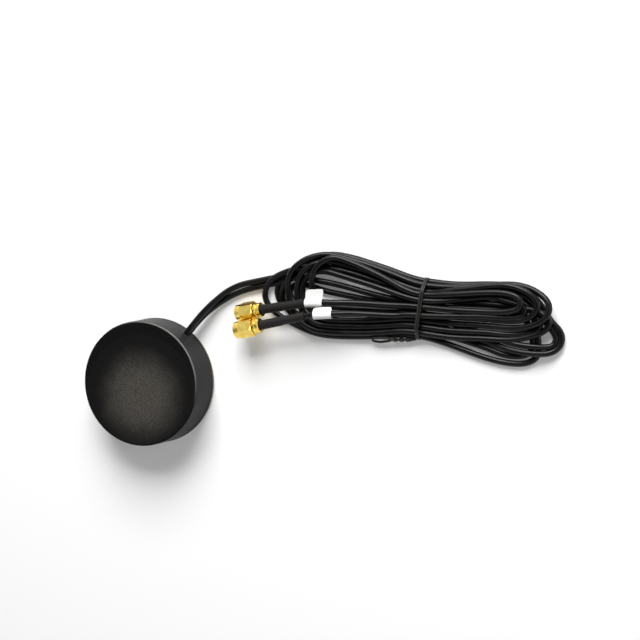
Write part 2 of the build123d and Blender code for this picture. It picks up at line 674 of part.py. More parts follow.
shoulder_end = SHOULDER_START + SHOULDER_LENGTH
nut_relief_end = NUT_BORE_DEPTH + NUT_RELIEF_LENGTH
collar_start = NUT_LENGTH + NUT_REAR_GAP
collar_end = collar_start + COLLAR_LENGTH
crimp_neck_end = collar_end + CRIMP_NECK_LENGTH
ferrule_end = collar_end + FERRULE_LENGTH
sleeve_end = collar_end + SLEEVE_LENGTH
insulator_end = SHELL_START + INSULATOR_LENGTH


def plug_frame(start, azimuth, elevation):
    """Plane at a plug's mating end: z along the plug towards the cable, x level."""
    along = Vector(
        cos(radians(elevation)) * cos(radians(azimuth)),
        cos(radians(elevation)) * sin(radians(azimuth)),
        sin(radians(elevation)),
    )
    return Plane(origin=start, x_dir=Vector(0, 0, 1).cross(along), z_dir=along)


def turned(frame, profile):
    """A piece turned about the frame's z axis from points of distance from the axis and along it."""
    section = Plane(origin=frame.origin, x_dir=frame.x_dir, z_dir=-frame.y_dir)
    with BuildPart() as piece:
        with BuildSketch(section):
            with BuildLine():
                Polyline(*profile, close=True)
            make_face()
        revolve(axis=Axis(frame.origin, frame.z_dir))
    return piece


def coupling_nut(frame, face_angle):
    """Free-running hexagon nut with a turned collar, a threaded bore and a relief for its ring."""
    flat = NUT_ACROSS_FLATS / 2
    corner = flat / cos(pi / NUT_SIDES)
    with BuildPart() as nut:
        with BuildSketch(frame):
            RegularPolygon(flat, NUT_SIDES, major_radius=False, rotation=face_angle - 30)
        extrude(amount=NUT_LENGTH)
        outside = turned(
            frame,
            (
                (0, 0),
                (NUT_COLLAR_DIAMETER / 2 - NUT_COLLAR_EDGE, 0),
                (NUT_COLLAR_DIAMETER / 2, NUT_COLLAR_EDGE),
                (NUT_COLLAR_DIAMETER / 2, NUT_COLLAR_LENGTH),
                (corner, NUT_COLLAR_LENGTH + NUT_CORNER_RISE),
                (corner, NUT_LENGTH - NUT_CORNER_RISE),
                (flat - NUT_COLLAR_EDGE / 2, NUT_LENGTH),
                (0, NUT_LENGTH),
            ),
        )
        add(outside.part, mode=Mode.INTERSECT)
        mouth = (NUT_MOUTH_DIAMETER - NUT_BORE_DIAMETER) / 2
        inside = turned(
            frame,
            (
                (0, -1),
                (NUT_MOUTH_DIAMETER / 2, -1),
                (NUT_MOUTH_DIAMETER / 2, 0),
                (NUT_BORE_DIAMETER / 2, mouth),
                (NUT_BORE_DIAMETER / 2, NUT_BORE_DEPTH),
                (NUT_RELIEF_DIAMETER / 2, NUT_BORE_DEPTH),
                (NUT_RELIEF_DIAMETER / 2, nut_relief_end),
                (NECK_DIAMETER / 2 + NUT_RUNNING_CLEARANCE, nut_relief_end),
                (NECK_DIAMETER / 2 + NUT_RUNNING_CLEARANCE, NUT_LENGTH + 1),
                (0, NUT_LENGTH + 1),
            ),
        )
        add(inside.part, mode=Mode.SUBTRACT)
    return nut


def plug_body(frame):
    """Turned body: outer shell, shoulder, ring groove, neck, rear collar and crimp neck."""
    ring_groove_end = RING_GROOVE_START + RING_GROOVE_LENGTH
    groove_middle = (collar_start + collar_end) / 2
    return turned(
        frame,
        (
            (INSULATOR_DIAMETER / 2, SHELL_START),
            (SHELL_DIAMETER / 2, SHELL_START),
            (SHELL_DIAMETER / 2, SHOULDER_START),
            (SHOULDER_DIAMETER / 2, SHOULDER_START),
            (SHOULDER_DIAMETER / 2, shoulder_end),
            (NECK_DIAMETER / 2, shoulder_end),
            (NECK_DIAMETER / 2, RING_GROOVE_START),
            (RING_GROOVE_DIAMETER / 2, RING_GROOVE_START),
            (RING_GROOVE_DIAMETER / 2, ring_groove_end),
            (NECK_DIAMETER / 2, ring_groove_end),
            (NECK_DIAMETER / 2, collar_start),
            (COLLAR_DIAMETER / 2 - COLLAR_EDGE, collar_start),
            (COLLAR_DIAMETER / 2, collar_start + COLLAR_EDGE),
            (COLLAR_DIAMETER / 2, groove_middle - COLLAR_GROOVE_WIDTH / 2),
            (COLLAR_DIAMETER / 2 - COLLAR_GROOVE_DEPTH, groove_middle),
            (COLLAR_DIAMETER / 2, groove_middle + COLLAR_GROOVE_WIDTH / 2),
            (COLLAR_DIAMETER / 2, collar_end - COLLAR_EDGE),
            (COLLAR_DIAMETER / 2 - COLLAR_EDGE, collar_end),
            (CRIMP_NECK_DIAMETER / 2, collar_end),
            (CRIMP_NECK_DIAMETER / 2, crimp_neck_end),
            (CRIMP_BORE / 2, crimp_neck_end),
            (CRIMP_BORE / 2, insulator_end),
            (INSULATOR_DIAMETER / 2, insulator_end),
        ),
    )


def snap_ring(frame):
    """Split spring ring that holds the nut on the body."""
    ring_start = RING_GROOVE_START + (RING_GROOVE_LENGTH - RING_THICKNESS) / 2
    with BuildPart() as ring:
        with BuildSketch(frame.offset(ring_start)):
            Circle(RING_DIAMETER / 2)
            Circle(RING_GROOVE_DIAMETER / 2 + RING_CLEARANCE, mode=Mode.SUBTRACT)
            with Locations((RING_DIAMETER / 2, 0)):
                Rectangle(RING_DIAMETER, RING_GAP, mode=Mode.SUBTRACT)
        extrude(amount=RING_THICKNESS)
    return ring


def plug_gasket(frame):
    """Soft washer that the mating plug presses against the shoulder."""
    with BuildPart() as washer:
        with BuildSketch(frame.offset(SHOULDER_START - GASKET_THICKNESS)):
            Circle(NUT_BORE_DIAMETER / 2 - RING_CLEARANCE)
            Circle(SHELL_DIAMETER / 2, mode=Mode.SUBTRACT)
        extrude(amount=GASKET_THICKNESS)
    return washer


def centre_contact(frame):
    """Pointed centre pin with a wider barrel that holds the cable's core."""
    barrel_start = SHELL_START + CONTACT_BARREL_SINK
    return turned(
        frame,
        (
            (0, CONTACT_TIP_START),
            (CONTACT_TIP_DIAMETER / 2, CONTACT_TIP_START),
            (CONTACT_DIAMETER / 2, CONTACT_TIP_START + CONTACT_TIP_LENGTH),
            (CONTACT_DIAMETER / 2, barrel_start),
            (CONTACT_BARREL_DIAMETER / 2, barrel_start),
            (CONTACT_BARREL_DIAMETER / 2, barrel_start + CONTACT_BARREL_LENGTH),
            (0, barrel_start + CONTACT_BARREL_LENGTH),
        ),
    )


def plug_insulator(frame):
    """Plastic bead that fills the shell round the centre pin."""
    barrel_start = SHELL_START + CONTACT_BARREL_SINK
    return turned(
        frame,
        (
            (CONTACT_DIAMETER / 2, SHELL_START),
            (INSULATOR_DIAMETER / 2, SHELL_START),
            (INSULATOR_DIAMETER / 2, insulator_end),
            (CONTACT_BARREL_DIAMETER / 2, insulator_end),
            (CONTACT_BARREL_DIAMETER / 2, barrel_start),
            (CONTACT_DIAMETER / 2, barrel_start),
        ),
    )


def crimp_ferrule(frame):
    """Metal tube squeezed over the braid behind the body."""
    return turned(
        frame,
        (
            (FERRULE_BORE / 2, collar_end),
            (FERRULE_DIAMETER / 2, collar_end),
            (FERRULE_DIAMETER / 2, ferrule_end),
            (FERRULE_BORE / 2, ferrule_end),
        ),
    )


def shrink_sleeve(frame):
    """Thick shrunk sleeve over the ferrule and the first stretch of cable."""
    rear_radius = SLEEVE_DIAMETER / 2 - SLEEVE_STEP
    step_at = collar_end + SLEEVE_STEP_AT
    return turned(
        frame,
        (
            (FERRULE_DIAMETER / 2, collar_end),
            (SLEEVE_DIAMETER / 2 - SLEEVE_EDGE, collar_end),
            (SLEEVE_DIAMETER / 2, collar_end + SLEEVE_EDGE),
            (SLEEVE_DIAMETER / 2, step_at),
            (rear_radius, step_at + SLEEVE_STEP),
            (rear_radius, sleeve_end - SLEEVE_EDGE),
            (rear_radius - SLEEVE_EDGE, sleeve_end),
            (CABLE_DIAMETER / 2, sleeve_end),
            (CABLE_DIAMETER / 2, ferrule_end),
            (FERRULE_DIAMETER / 2, ferrule_end),
        ),
    )


plug_frames = [
    plug_frame(start, azimuth, elevation)
    for start, azimuth, elevation in zip(PLUG_START, PLUG_AZIMUTH, PLUG_ELEVATION)
]
for number, frame in enumerate(plug_frames, start=1):
    plug_pieces = {
        "coupling_nut": coupling_nut(frame, NUT_FACE_ANGLE[number - 1]),
        "plug_body": plug_body(frame),
        "snap_ring": snap_ring(frame),
        "plug_gasket": plug_gasket(frame),
        "centre_contact": centre_contact(frame),
        "plug_insulator": plug_insulator(frame),
        "crimp_ferrule": crimp_ferrule(frame),
        "shrink_sleeve": shrink_sleeve(frame),
    }
    for name, piece in plug_pieces.items():
        piece.part.label = f"{name}_{number}"
        export_step(piece.part, f"parts/{name}_{number}.step")


# Cables outside the puck: straight runs joined by tangent arcs

def corner_radii(points):
    """The largest arc that each corner of a route takes from the two runs that meet there."""
    radii = []
    for before, corner, after in zip(points, points[1:], points[2:]):
        arriving = Vector(*corner) - Vector(*before)
        leaving = Vector(*after) - Vector(*corner)
        half_turn = radians(arriving.get_angle(leaving)) / 2
        radii.append(0.45 * min(arriving.length, leaving.length) / tan(half_turn))
    return radii


def cable_tube(name, points):
    """A round cable swept along a route; prints its radii and compares its volume."""
    radii = corner_radii(points)
    with BuildPart() as tube:
        with BuildLine() as route:
            FilletPolyline(*points, radius=radii)
        wire = route.wire()
        with BuildSketch(Plane(origin=wire @ 0, z_dir=wire % 0)):
            Circle(CABLE_DIAMETER / 2)
        sweep()
    expected = pi * CABLE_DIAMETER**2 / 4 * wire.length
    print(
        name,
        "length", round(wire.length, 1),
        "radii", [round(radius, 1) for radius in radii],
        "volume share", round(tube.part.volume / expected, 4),
    )
    return tube, wire


def along_cable(line, start, distance):
    """Point and direction at a distance from a cable's first point, whichever way its line runs."""
    if (line @ 0 - Vector(*start)).length < CABLE_DIAMETER:
        return (
            line.position_at(distance, position_mode=PositionMode.LENGTH),
            line.tangent_at(distance, position_mode=PositionMode.LENGTH),
        )
    return (
        line.position_at(line.length - distance, position_mode=PositionMode.LENGTH),
        -line.tangent_at(line.length - distance, position_mode=PositionMode.LENGTH),
    )


lead_tubes = []
for number, (height, points) in enumerate(zip((cable_lower, cable_upper), LEAD_ROUTES), start=1):
    straight = [(0, grommet_back, height), (0, BASE_DIAMETER / 2 + LEAD_STRAIGHT, height)]
    cable_lead, _ = cable_tube(f"cable_lead_{number}", [*straight, *points])
    lead_tubes.append(cable_lead)
    cable_lead.part.label = f"cable_lead_{number}"
    export_step(cable_lead.part, f"parts/cable_lead_{number}.step")

tail_tubes = []
tail_lines = []
tail_starts = []
for number, (frame, points) in enumerate(zip(plug_frames, TAIL_ROUTES), start=1):
    inside_sleeve = frame.origin + frame.z_dir * crimp_neck_end
    beyond_sleeve = frame.origin + frame.z_dir * (sleeve_end + TAIL_STRAIGHT)
    route_points = [tuple(inside_sleeve), tuple(beyond_sleeve), *points]
    cable_tail, tail_line = cable_tube(f"cable_tail_{number}", route_points)
    tail_tubes.append(cable_tail)
    tail_lines.append(tail_line)
    tail_starts.append(inside_sleeve)
    cable_tail.part.label = f"cable_tail_{number}"
    export_step(cable_tail.part, f"parts/cable_tail_{number}.step")


# Twist tie: a flat band round the hank whose ends are twisted together beside it

hank_x = Vector(cos(radians(HANK_ANGLE)), sin(radians(HANK_ANGLE)), 0)
hank_y = Vector(-sin(radians(HANK_ANGLE)), cos(radians(HANK_ANGLE)), 0)
hank_origin = Vector(*HANK_TIE_POINT, 0)
hank_plan = Plane(origin=hank_origin, x_dir=hank_x, z_dir=(0, 0, 1))
hank_side = Plane(origin=hank_origin, x_dir=hank_x, z_dir=-hank_y)
hank_across = Plane(origin=hank_origin, x_dir=hank_y, z_dir=hank_x)
twist_height = TIE_THICKNESS / 2 + TWIST_RADIUS + TWIST_STRAND / 2
twist_start = hank_plan.from_local_coords((TIE_AT + TWIST_START[0], TWIST_START[1], twist_height))
twist_along = hank_x * TWIST_DIRECTION[0] + hank_y * TWIST_DIRECTION[1]
twist_length = TWIST_PITCH * TWIST_TURNS
twist_frame = Plane(origin=twist_start, x_dir=(0, 0, 1), z_dir=twist_along)


def band_section(clear_of):
    """Inside outline of the band, grown outwards by a distance."""
    half_width = TIE_INSIDE_WIDTH / 2
    half_top = TIE_SHOULDER_WIDTH / 2
    top = TIE_THICKNESS + TIE_INSIDE_HEIGHT
    with BuildSketch() as section:
        with BuildLine():
            Polyline(
                (-half_width, TIE_THICKNESS),
                (half_width, TIE_THICKNESS),
                (half_width, top - TIE_SHOULDER_DROP),
                (half_top, top),
                (-half_top, top),
                (-half_width, top - TIE_SHOULDER_DROP),
                close=True,
            )
        make_face()
        fillet(section.vertices(), TIE_CORNER)
        if clear_of:
            offset(amount=clear_of)
    return section.sketch


with BuildPart() as strand:
    with BuildLine() as strand_line:
        Helix(TWIST_PITCH, twist_length, TWIST_RADIUS)
    strand_start = strand_line.wire() @ 0
    with BuildSketch(Plane(origin=strand_start, z_dir=strand_line.wire() % 0)):
        Circle(TWIST_STRAND / 2)
    sweep(is_frenet=True)

with BuildPart() as twisted_pair:
    with PolarLocations(0, len(TWIST_ENDS)):
        add(strand.part)
    for side, length in zip((0, 180), TWIST_ENDS):
        with BuildSketch(Plane.XY.offset(twist_length)):
            with PolarLocations(TWIST_RADIUS, 1, start_angle=side):
                Circle(TWIST_STRAND / 2)
        extrude(amount=length)

with BuildPart() as cable_tie:
    with BuildSketch(hank_across.offset(TIE_AT - TIE_WIDTH / 2)):
        add(band_section(TIE_THICKNESS))
        add(band_section(0), mode=Mode.SUBTRACT)
    extrude(amount=TIE_WIDTH)
    with Locations(twist_frame.location):
        add(twisted_pair.part)
cable_tie.part.label = "cable_tie"
export_step(cable_tie.part, "parts/cable_tie.step")


# Hank of both cables as one solid of its outer shape, with the tie and the loose stretches let in

with BuildPart() as cable_hank:
    with BuildSketch(hank_plan):
        with BuildLine():
            Spline(*HANK_OUTLINE, periodic=True)
        make_face()
    extrude(amount=max(height for _, height in HANK_TOP))
    with BuildSketch(hank_side):
        with BuildLine():
            Spline(*HANK_TOP)
            Polyline(HANK_TOP[-1], (HANK_TOP[-1][0], 0), (HANK_TOP[0][0], 0), HANK_TOP[0])
        make_face()
    extrude(amount=BASE_DIAMETER, both=True, mode=Mode.INTERSECT)
    with BuildSketch(hank_plan):
        with Locations(Location((*HANK_SLOT_CENTRE, 0), (0, 0, HANK_SLOT_ANGLE))):
            SlotOverall(HANK_SLOT_LENGTH, HANK_SLOT_WIDTH)
    extrude(amount=BASE_DIAMETER, mode=Mode.SUBTRACT)
    for tube in lead_tubes + tail_tubes:
        add(tube.part, mode=Mode.SUBTRACT)
    add(cable_tie.part, mode=Mode.SUBTRACT)
cable_hank.part.label = "cable_hank"
export_step(cable_hank.part, "parts/cable_hank.step")


# Bare paper labels: a loose loop round the cable and a flag where the two ends are stuck together

for number, tail_line in enumerate(tail_lines, start=1):
    from_plug = sleeve_end + LABEL_FROM_SLEEVE[number - 1] - crimp_neck_end
    middle, along = along_cable(tail_line, tail_starts[number - 1], from_plug)
    level = Vector(0, 0, 1).cross(along).normalized()
    flag_turn = radians(LABEL_FLAG_TURN[number - 1])
    flag_direction = level * cos(flag_turn) + along.cross(level) * sin(flag_turn)
    label_frame = Plane(middle - along * (LABEL_WIDTH / 2), x_dir=flag_direction, z_dir=along)
    inside_radius = CABLE_DIAMETER / 2 + LABEL_LOOSENESS[number - 1]
    flag_length = LABEL_FLAG[number - 1]
    with BuildPart() as cable_label:
        with BuildSketch(label_frame):
            Circle(inside_radius + LABEL_PAPER)
            with Locations((flag_length / 2, 0)):
                Rectangle(flag_length, 2 * LABEL_PAPER)
            Circle(inside_radius, mode=Mode.SUBTRACT)
        extrude(amount=LABEL_WIDTH)
        flag_ends = cable_label.edges().filter_by(Axis(label_frame.origin, label_frame.y_dir))
        flag_corners = flag_ends.sort_by(Axis(label_frame.origin, label_frame.x_dir))[-2:]
        fillet(flag_corners, LABEL_CORNER)
    cable_label.part.label = f"cable_label_{number}"
    export_step(cable_label.part, f"parts/cable_label_{number}.step")
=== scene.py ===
import json
import math

import bmesh
import bpy
from mathutils import Matrix, Vector


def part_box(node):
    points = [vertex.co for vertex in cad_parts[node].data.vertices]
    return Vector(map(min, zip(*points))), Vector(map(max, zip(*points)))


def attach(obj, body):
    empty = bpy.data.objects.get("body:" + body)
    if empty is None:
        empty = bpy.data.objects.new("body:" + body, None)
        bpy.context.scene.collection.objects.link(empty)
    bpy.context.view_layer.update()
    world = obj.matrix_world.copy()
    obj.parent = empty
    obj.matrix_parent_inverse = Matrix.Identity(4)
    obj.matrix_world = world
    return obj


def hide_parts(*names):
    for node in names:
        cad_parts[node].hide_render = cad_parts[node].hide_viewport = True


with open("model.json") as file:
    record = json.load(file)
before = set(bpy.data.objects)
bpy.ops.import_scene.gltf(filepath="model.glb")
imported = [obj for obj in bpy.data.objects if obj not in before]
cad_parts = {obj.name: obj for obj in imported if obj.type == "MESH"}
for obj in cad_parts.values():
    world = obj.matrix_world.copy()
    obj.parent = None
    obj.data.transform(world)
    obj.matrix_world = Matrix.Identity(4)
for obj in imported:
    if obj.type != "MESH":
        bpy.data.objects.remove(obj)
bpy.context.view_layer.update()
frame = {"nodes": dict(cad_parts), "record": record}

SCENE = bpy.context.scene
NODES = frame["nodes"]
MM = 0.001


# Camera: the photograph's view, looking down on the puck lying on its adhesive face
CAMERA_AT = Vector((0.209507, 0.267416, 0.650495))
CAMERA_RIGHT = Vector((0.73125895, 0.58250509, -0.35489177))
CAMERA_UP = Vector((-0.64059776, 0.76520651, -0.06398049))
CAMERA_BACK = Vector((0.23429654, 0.27412918, 0.93271557))
CAMERA_LENS = 85.0
CAMERA_SENSOR = 36.0
CAMERA_NEAR = 0.01
CAMERA_FAR = 20.0


def place_camera():
    data = bpy.data.cameras.new("camera")
    data.sensor_width = CAMERA_SENSOR
    data.lens = CAMERA_LENS
    data.clip_start = CAMERA_NEAR
    data.clip_end = CAMERA_FAR
    camera = bpy.data.objects.new("camera", data)
    SCENE.collection.objects.link(camera)
    turn = Matrix((CAMERA_RIGHT, CAMERA_UP, CAMERA_BACK)).transposed().to_4x4()
    camera.matrix_world = Matrix.Translation(CAMERA_AT) @ turn
    SCENE.camera = camera


place_camera()


# Cables: each one runs from the grommet into the hank, round its folds and out to its plug. All lengths are in
# millimetres. The hank has a frame of its own: along it, across it and up, from the middle of the tie.

CABLE = 2.8
CABLE_STEPS = 14
CABLE_ROUNDNESS = 8
HANK_AT = (80.7, 112.0)
HANK_TURN = math.radians(30.0)
HANK_ALONG = Vector((math.cos(HANK_TURN), math.sin(HANK_TURN), 0.0))
TIE_AT = 0.9

# The tie draws the cables closer together over this reach: where the first layer's middle lies, and the next ones
TIE_REACH = 6.0
TIED_FIRST = 2.1
TIED_STEP = 2.4

# As in part.py, plug 1 first: the plugs, and distances along them from their mouths
PLUG_START = (Vector((13.88, 53.89, 4.90)), Vector((19.75, 48.78, 10.30)))
PLUG_AZIMUTH = (47.7, 50.7)
PLUG_ELEVATION = (9.5, 5.9)
CABLE_END = 18.7
SLEEVE_NARROWS = 32.7
SLEEVE_END = 36.7
CABLE_FREE = 41.2

# As in part.py, cable_inner first: the routes outside the hank, the leads towards it and the tails back to it

LEAD_ROUTES = (
    ((0.0, 25.8, 4.4), (0.0, 36.8, 4.4), (1.6, 48.0, 2.2), (6.8, 61.0, 1.5), (15.5, 72.0, 1.5), (22.8, 80.2, 2.2)),
    ((0.0, 25.8, 7.3), (0.0, 36.8, 7.3), (0.6, 48.5, 5.0), (3.5, 61.7, 2.2), (13.1, 73.1, 2.4), (19.7, 81.0, 1.8)),
)
TAIL_ROUTES = (
    ((49.3, 89.9, 10.6), (55.3, 94.9, 8.8), (71.4, 106.5, 7.0)),
    ((54.6, 88.2, 12.4), (60.3, 92.8, 9.6), (74.7, 103.1, 7.0)),
)

# Where each lead comes into the hank, in the hank's frame
ENTRIES = (((-57.5, 8.5, 1.5), (-49.0, 13.6, 1.4)), ((-59.3, 10.3, 1.5), (-50.5, 16.6, 1.4)))

# Runs through the tie: the layer that each lies in left of it, under it and right of it, and where it lies across
# the hank at these stations along it, with none where it has already left for its plug
RUN_STATIONS = (-40.0, -20.0, -5.0, 5.0, 16.0, 32.0)
RUNS_OUTER = (
    ((1, 1, 1), (18.0, 15.4, 12.5, 12.7, 13.4, 16.6)),
    ((1, 1, 1), (-13.2, -10.4, -6.3, -6.2, -7.4, -9.2)),
    ((1, 1, 1), (12.2, 9.8, 6.6, 6.2, 7.4, 10.8)),
    ((1, 1, 1), (-19.9, -16.4, -12.4, -12.2, -13.8, -16.6)),
    ((2, 2, 2), (11.4, 8.8, 5.4, 5.3, 6.0, 7.8)),
    ((2, 2, 2), (-18.0, -14.6, -10.6, -10.4, -10.2, -7.8)),
    ((2, 2, 2), (17.2, 14.4, 11.0, 10.9, 12.3, 16.4)),
    ((2, 2, 2), (-12.2, -8.8, -4.9, -4.7, -3.9, -2.0)),
    ((2.8, 3, 2.6), (9.1, 6.7, 4.1, 4.2, 6.8, 11.2)),
    ((3, 3, 3), (None, None, -3.1, -2.2, -0.5, 2.3)),
)
RUNS_INNER = (
    ((1, 1, 1), (15.1, 12.6, 9.5, 9.6, 10.5, 13.8)),
    ((1, 1, 1), (-6.2, -3.9, -2.0, -2.9, -4.5, -6.3)),
    ((1, 1, 1), (-0.1, -0.4, 1.4, 1.6, 3.0, 7.2)),
    ((1, 1, 1), (-17.0, -13.5, -9.5, -9.3, -10.0, -12.0)),
    ((2, 2, 2), (4.5, 2.5, 2.3, 2.4, 3.1, 5.2)),
    ((2, 2, 2), (-15.1, -11.7, -7.8, -7.6, -7.2, -4.9)),
    ((2, 2, 3), (14.3, 11.6, 8.2, 8.1, 11.2, 16.2)),
    ((2, 2, 2), (-9.3, -5.8, -2.0, -1.8, -0.9, 0.9)),
    ((3, 3, 3.3), (16.9, 12.2, 6.6, 7.0, 9.6, 13.2)),
    ((3, 3, 3.2), (None, None, 0.8, 1.5, 2.4, 4.4)),
)

# Folds at the right end, then at the left end, in the order the cable meets them: along, across, height
FOLDS_OUTER = (
    ((43, 17.0, 1.4), (52, 12.6, 1.4), (58.6, 4.4, 1.4), (64.4, 0.4, 1.4), (64.9, -5.2, 1.4), (61.2, -9.4, 2.6),
     (54, -10.7, 4.3), (45, -11.0, 4.2), (38, -10.2, 2.6)),
    ((-50, -13.8, 1.4), (-60, -12.6, 1.4), (-68.0, -9.2, 1.4), (-70.8, -3.4, 1.4), (-68.6, 2.6, 1.5),
     (-62.5, 7.6, 1.5), (-51, 10.2, 1.4)),
    ((43, 10.6, 1.4), (50.0, 6.6, 1.4), (53.0, 0.2, 1.4), (55.0, -6.4, 1.4), (55.6, -12.4, 1.4), (50.4, -16.2, 1.4),
     (41.5, -17.2, 1.4)),
    ((-50, -20.0, 1.4), (-60, -17.6, 1.4), (-69.3, -14.4, 1.4), (-75.2, -9.9, 1.5), (-76.2, -4.3, 2.4),
     (-72.8, 1.8, 4.0), (-65, 6.8, 4.5), (-53.5, 10.8, 4.2)),
    ((43, 8.2, 4.2), (52, 8.4, 4.2), (58.8, 5.8, 4.3), (58.4, 0.6, 4.3), (51.5, -3.6, 4.3), (42, -6.8, 4.2)),
    ((-50, -18.4, 4.2), (-58.4, -13.9, 4.2), (-62.2, -7.6, 4.4), (-64.0, -0.9, 5.6), (-63.2, 6.6, 7.0),
     (-57.6, 13.2, 6.6), (-49, 17.2, 4.8)),
    ((42.5, 18.2, 4.4), (51.2, 16.8, 4.9), (58.0, 12.8, 6.6), (58.4, 6.8, 7.2), (52.5, 1.6, 6.8), (43, -1.2, 5.6)),
    ((-46.5, -12.2, 4.3), (-52.6, -8.9, 4.4), (-56.4, -3.4, 4.8), (-56.9, 2.9, 5.2), (-53.2, 8.0, 5.6),
     (-46.4, 9.8, 6.2)),
    ((38.5, 10.2, 5.8), (46.8, 9.4, 5.9), (48.0, 5.0, 6.0), (40.5, 2.8, 6.4)),
)
FOLDS_INNER = (
    ((42, 14.2, 1.4), (50, 10.2, 1.4), (56.5, 3.4, 1.4), (61.8, -1.0, 1.4), (62.4, -4.6, 1.4), (60, -6.9, 2.3),
     (53, -7.7, 4.3), (45, -8.0, 4.2), (38, -7.2, 2.6)),
    ((-49, -7.6, 1.4), (-56, -8.4, 1.4), (-62.0, -7.0, 1.4), (-64.6, -2.6, 1.4), (-61.0, 1.6, 1.4),
     (-54.5, 1.4, 1.4), (-47.5, 0.2, 1.4)),
    ((41, 7.2, 1.4), (47.6, 3.6, 1.4), (51.4, -2.2, 1.4), (52.6, -7.6, 1.4), (51.6, -11.4, 1.4),
     (46.5, -13.5, 1.4), (39.5, -13.8, 1.4)),
    ((-50, -17.2, 1.4), (-59, -14.6, 1.4), (-65.0, -10.6, 1.5), (-67.6, -5.2, 2.4), (-66.4, 0.8, 3.8),
     (-61.2, 4.8, 4.2), (-50.5, 4.6, 4.2)),
    ((41.5, 5.8, 4.2), (49.5, 6.0, 4.2), (55.2, 3.8, 4.2), (54.4, -0.6, 4.2), (47, -3.2, 4.2), (39.5, -4.6, 4.2)),
    ((-49, -15.4, 4.2), (-55.2, -11.1, 4.2), (-58.6, -5.7, 4.6), (-59.4, 0.4, 5.8), (-58.0, 6.4, 7.0),
     (-53.6, 11.6, 6.6), (-46.5, 14.4, 4.8)),
    ((40, 17.4, 7.4), (48, 15.8, 7.6), (52.8, 12.2, 7.2), (52.8, 7.2, 6.8), (48.2, 3.4, 6.4), (40.5, 1.6, 5.4)),
    ((-44.5, -9.4, 4.4), (-48.6, -6.2, 5.0), (-51.2, -1.0, 6.2), (-52.0, 5.0, 7.6), (-50.4, 11.4, 8.4),
     (-45.0, 16.0, 8.0)),
    ((40, 14.0, 8.0), (45.4, 12.6, 8.4), (46.1, 8.4, 8.6), (40.5, 5.8, 8.4)),
)


def layer_height(layer, at_tie):
    """How high a run's middle lies: a cable's thickness a layer, and drawn closer together by the tie."""
    return TIED_FIRST + TIED_STEP * (layer - 1) if at_tie else CABLE * (layer - 0.5)


def on_hank(along, across, height):
    """A point of the hank's frame in the row frame."""
    c, s = math.cos(HANK_TURN), math.sin(HANK_TURN)
    return (HANK_AT[0] + along * c - across * s, HANK_AT[1] + along * s + across * c, height)


def plug_direction(plug):
    """The way a plug's axis runs from its mouth to its cable."""
    azimuth = math.radians(PLUG_AZIMUTH[plug])
    elevation = math.radians(PLUG_ELEVATION[plug])
    level = math.cos(elevation)
    return Vector((level * math.cos(azimuth), level * math.sin(azimuth), math.sin(elevation)))


def cable_points(plug, runs, folds):
    """The whole cable's control points: lead, runs and folds by turns, then the tail up to its plug."""
    points = list(LEAD_ROUTES[plug])
    points.extend(on_hank(*point) for point in ENTRIES[plug])
    for number, (layers, across) in enumerate(runs):
        stations = [station for station in zip(RUN_STATIONS, across) if station[1] is not None]
        if number % 2:
            stations.reverse()
        for along, offset in stations:
            side = 1 if abs(along) < TIE_REACH else 0 if along < 0 else 2
            points.append(on_hank(along, offset, layer_height(layers[side], side == 1)))
        if number < len(folds):
            points.extend(on_hank(*point) for point in folds[number])
    points.extend(reversed(TAIL_ROUTES[plug]))
    for distance in (CABLE_FREE, SLEEVE_NARROWS, CABLE_END):
        points.append(tuple(PLUG_START[plug] + plug_direction(plug) * distance))
    return points


def cable(name, points):
    """One cable as a smooth curve of round section through its control points."""
    data = bpy.data.curves.new(name, "CURVE")
    data.dimensions = "3D"
    data.resolution_u = CABLE_STEPS
    data.bevel_depth = 1.0
    data.bevel_resolution = CABLE_ROUNDNESS
    data.use_fill_caps = True
    spline = data.splines.new("NURBS")
    spline.points.add(len(points) - 1)
    for point, place in zip(spline.points, points):
        point.co = (place[0] * MM, place[1] * MM, place[2] * MM, 1.0)
        point.radius = CABLE / 2 * MM
    spline.use_smooth = True
    spline.order_u = 3
    spline.use_endpoint_u = True
    piece = bpy.data.objects.new(name, data)
    SCENE.collection.objects.link(piece)
    return piece


def line_of(piece):
    """The points that a cable's own line passes through, in metres."""
    bare = piece.data.copy()
    bare.bevel_depth = 0.0
    holder = bpy.data.objects.new("bare_line", bare)
    mesh = bpy.data.meshes.new_from_object(holder)
    line = [vertex.co.copy() for vertex in mesh.vertices]
    bpy.data.objects.remove(holder)
    bpy.data.meshes.remove(mesh)
    bpy.data.curves.remove(bare)
    return line


def spot_on(line, distance):
    """Where a cable lies at a distance from its plug end, and which way it runs there."""
    left = distance * MM
    for near, far in zip(reversed(line), reversed(line[:-1])):
        step = far - near
        if step.length >= left:
            return near + step.normalized() * left, step.normalized()
        left -= step.length


cable_outer = cable("cable_outer", cable_points(1, RUNS_OUTER, FOLDS_OUTER))
cable_inner = cable("cable_inner", cable_points(0, RUNS_INNER, FOLDS_INNER))
LINES = (line_of(cable_inner), line_of(cable_outer))

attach(cable_outer, "antenna")
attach(cable_inner, "antenna")
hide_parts("cable_lead_2", "cable_tail_2", "cable_hank")
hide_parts("cable_lead_1", "cable_tail_1")


